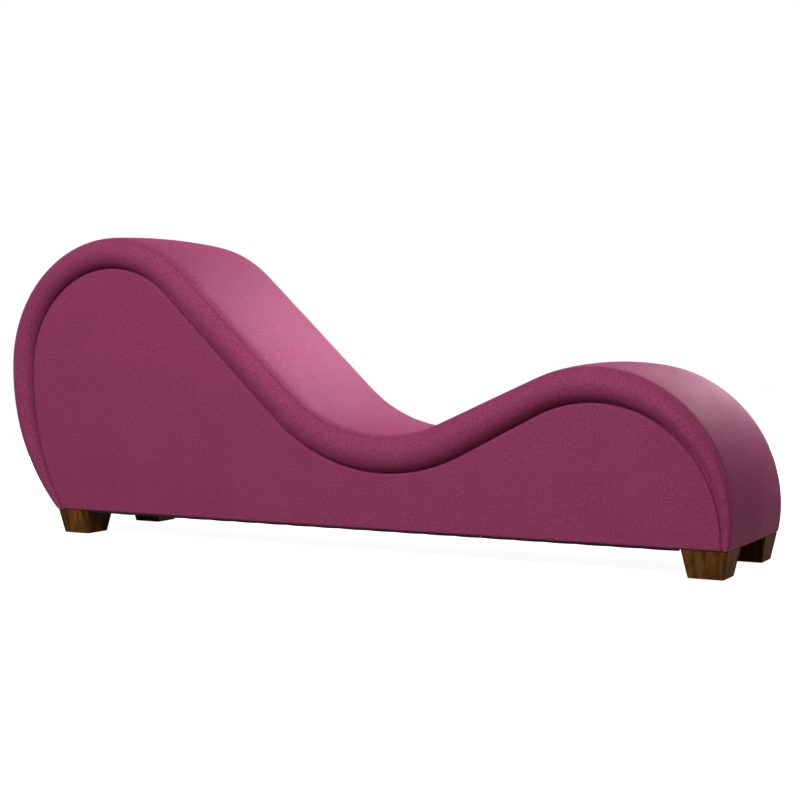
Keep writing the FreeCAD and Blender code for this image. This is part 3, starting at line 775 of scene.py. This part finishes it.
def wood(name, dark, light, stretch, rough, scale):
    """Wood with a fine grain and broader bands, both stretched along the piece."""
    made, tree, shader = material(name)
    grain = noise(tree, scale, 6.0, stretch, 0.6)
    bands = noise(tree, scale / 5, 2.0, stretch)
    fine = ramp(tree, grain.outputs["Fac"], (0.32, dark), (0.68, light))
    broad = ramp(tree, bands.outputs["Fac"], (0.3, (0.62, 0.58, 0.55)), (0.7, (1.0, 1.0, 1.0)))
    color = multiplied(tree, fine.outputs["Color"], broad.outputs["Color"])
    tree.links.new(color, shader.inputs["Base Color"])
    finish = ramp(tree, grain.outputs["Fac"], (0.2, (rough + 0.1,) * 3), (0.8, (rough - 0.1,) * 3))
    tree.links.new(finish.outputs["Color"], shader.inputs["Roughness"])
    shader.inputs["Specular IOR Level"].default_value = 0.03
    bump(tree, shader, grain.outputs["Fac"], 0.3, 0.0008)
    return made


def grained(name, dark, light, scale, rough, depth):
    """A plain material with an even, fine grain."""
    made, tree, shader = material(name)
    grain = noise(tree, scale, 4.0)
    color = ramp(tree, grain.outputs["Fac"], (0.3, dark), (0.7, light))
    tree.links.new(color.outputs["Color"], shader.inputs["Base Color"])
    finish = ramp(tree, grain.outputs["Fac"], (0.2, (rough - 0.08,) * 3), (0.8, (rough + 0.08,) * 3))
    tree.links.new(finish.outputs["Color"], shader.inputs["Roughness"])
    shader.inputs["Specular IOR Level"].default_value = 0.1
    bump(tree, shader, grain.outputs["Fac"], 0.4, depth)
    return made


fabric = velour()
foot_wood = wood("stained_wood", (0.045, 0.016, 0.004), (0.210, 0.084, 0.018), (1.0, 1.0, 0.08), 0.7, 90)
pine = wood("softwood", (0.52, 0.36, 0.19), (0.72, 0.56, 0.34), (1.0, 0.06, 1.0), 0.6, 60)
ply = wood("plywood", (0.48, 0.34, 0.19), (0.68, 0.52, 0.32), (0.1, 1.0, 1.0), 0.6, 50)
foam = grained("foam", (0.70, 0.64, 0.46), (0.84, 0.80, 0.64), 700, 0.9, 0.001)
plastic = grained("glide_plastic", (0.016, 0.016, 0.016), (0.034, 0.034, 0.034), 900, 0.45, 0.0003)
steel = grained("staple_steel", (0.40, 0.40, 0.41), (0.56, 0.56, 0.57), 600, 0.38, 0.0001)
steel.node_tree.nodes["Principled BSDF"].inputs["Metallic"].default_value = 1.0
cloth = grained("dust_cloth", (0.010, 0.010, 0.010), (0.028, 0.028, 0.028), 1100, 0.92, 0.0004)


def dress(piece, made):
    """Give a piece one material."""
    piece.data.materials.clear()
    piece.data.materials.append(made)


for name, node in nodes.items():
    for prefix, made in (
        ("foot_", foot_wood),
        ("glide_", plastic),
        ("seat_deck", ply),
        ("side_board", ply),
        ("cross_batten", pine),
        ("base_rail", pine),
        ("corner_block", pine),
    ):
        if name.startswith(prefix):
            dress(node, made)

dress(pad_top, fabric)
dress(pad_core, foam)
dress(dust_sheet, cloth)
dress(staples, steel)
for piece in dust_hems:
    dress(piece, cloth)
for piece in (*pad_bands.values(), *side_panels.values()):
    dress(piece, fabric)

# Attach the new pieces to the root body, and hide the imported parts that they replace
for piece in (pad_top, pad_core, dust_sheet, staples, *dust_hems, *pad_bands.values(), *side_panels.values()):
    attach(piece, "root")
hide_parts("pad_top_panel")
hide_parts("pad_foam")
for side in ("left", "right"):
    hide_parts(f"pad_boxing_{side}")
    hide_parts(f"side_cover_{side}", f"side_padding_{side}")
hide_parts("dust_cover")


# Studio: white floor and backdrop, soft lights, the photo's camera

def area_light(name, place, target, size, power, spread=180):
    """A rectangular lamp that faces its target and doesn't show."""
    data = bpy.data.lights.new(name, "AREA")
    data.shape = "RECTANGLE"
    data.size, data.size_y = size
    data.energy = power
    data.spread = math.radians(spread)
    light = bpy.data.objects.new(name, data)
    light.location = place
    light.rotation_euler = (Vector(target) - Vector(place)).to_track_quat("-Z", "Y").to_euler()
    light.visible_camera = False
    bpy.context.scene.collection.objects.link(light)


def switch(tree, lit, seen, output):
    """Show one shader to the camera, to gloss and through clear pieces, and light the scene by the other."""
    path = tree.nodes.new("ShaderNodeLightPath")
    share = path.outputs["Is Camera Ray"]
    for ray in ("Is Glossy Ray", "Is Transmission Ray"):
        either = tree.nodes.new("ShaderNodeMath")
        either.operation = "MAXIMUM"
        tree.links.new(share, either.inputs[0])
        tree.links.new(path.outputs[ray], either.inputs[1])
        share = either.outputs["Value"]
    mix = tree.nodes.new("ShaderNodeMixShader")
    tree.links.new(share, mix.inputs["Fac"])
    tree.links.new(lit, mix.inputs[1])
    tree.links.new(seen, mix.inputs[2])
    tree.links.new(mix.outputs["Shader"], output.inputs["Surface"])


def white_floor():
    """A white floor that keeps the object's shadow and gives little light back."""
    span = np.linspace(-FLOOR_HALF, FLOOR_HALF, FLOOR_POINTS)
    x, y = np.meshgrid(span, span, indexing="ij")
    points = np.stack([x, y, np.zeros_like(x)], axis=-1).reshape(-1, 3)
    floor = new_object("floor", points, grid_faces(FLOOR_POINTS, FLOOR_POINTS, 0, True))
    made, tree, shader = material("floor_white")
    tone = noise(tree, 3, 1.0)
    color = ramp(tree, tone.outputs["Fac"], (0.3, (0.93, 0.93, 0.93)), (0.7, (0.95, 0.95, 0.95)))
    tree.links.new(color.outputs["Color"], shader.inputs["Base Color"])
    shader.inputs["Roughness"].default_value = 1.0
    shader.inputs["Specular IOR Level"].default_value = 0.0
    shader.inputs["Emission Color"].default_value = WHITE
    shader.inputs["Emission Strength"].default_value = FLOOR_GLOW
    bounce = tree.nodes.new("ShaderNodeBsdfDiffuse")
    bounce.inputs["Color"].default_value = FLOOR_BOUNCE
    switch(tree, bounce.outputs["BSDF"], shader.outputs["BSDF"], tree.nodes["Material Output"])
    dress(floor, made)


def white_backdrop():
    """A world that looks white and gives little light."""
    world = bpy.data.worlds.new("studio")
    world.use_nodes = True
    tree = world.node_tree
    ambient = tree.nodes["Background"]
    ambient.inputs["Color"].default_value = WHITE
    ambient.inputs["Strength"].default_value = AMBIENT
    backdrop = tree.nodes.new("ShaderNodeBackground")
    backdrop.inputs["Color"].default_value = WHITE
    switch(tree, ambient.outputs["Background"], backdrop.outputs["Background"], tree.nodes["World Output"])
    bpy.context.scene.world = world


white_floor()
white_backdrop()
for name, values in LAMPS.items():
    area_light(name, *values)

camera_data = bpy.data.cameras.new("camera")
camera_data.lens = CAMERA_LENS
camera_data.sensor_width = CAMERA_SENSOR
camera = bpy.data.objects.new("camera", camera_data)
camera.location = CAMERA_PLACE
camera.rotation_euler = (math.pi / 2 + CAMERA_PITCH, 0.0, CAMERA_YAW)
bpy.context.scene.collection.objects.link(camera)
bpy.context.scene.camera = camera
bpy.context.scene.view_settings.view_transform = "Standard"
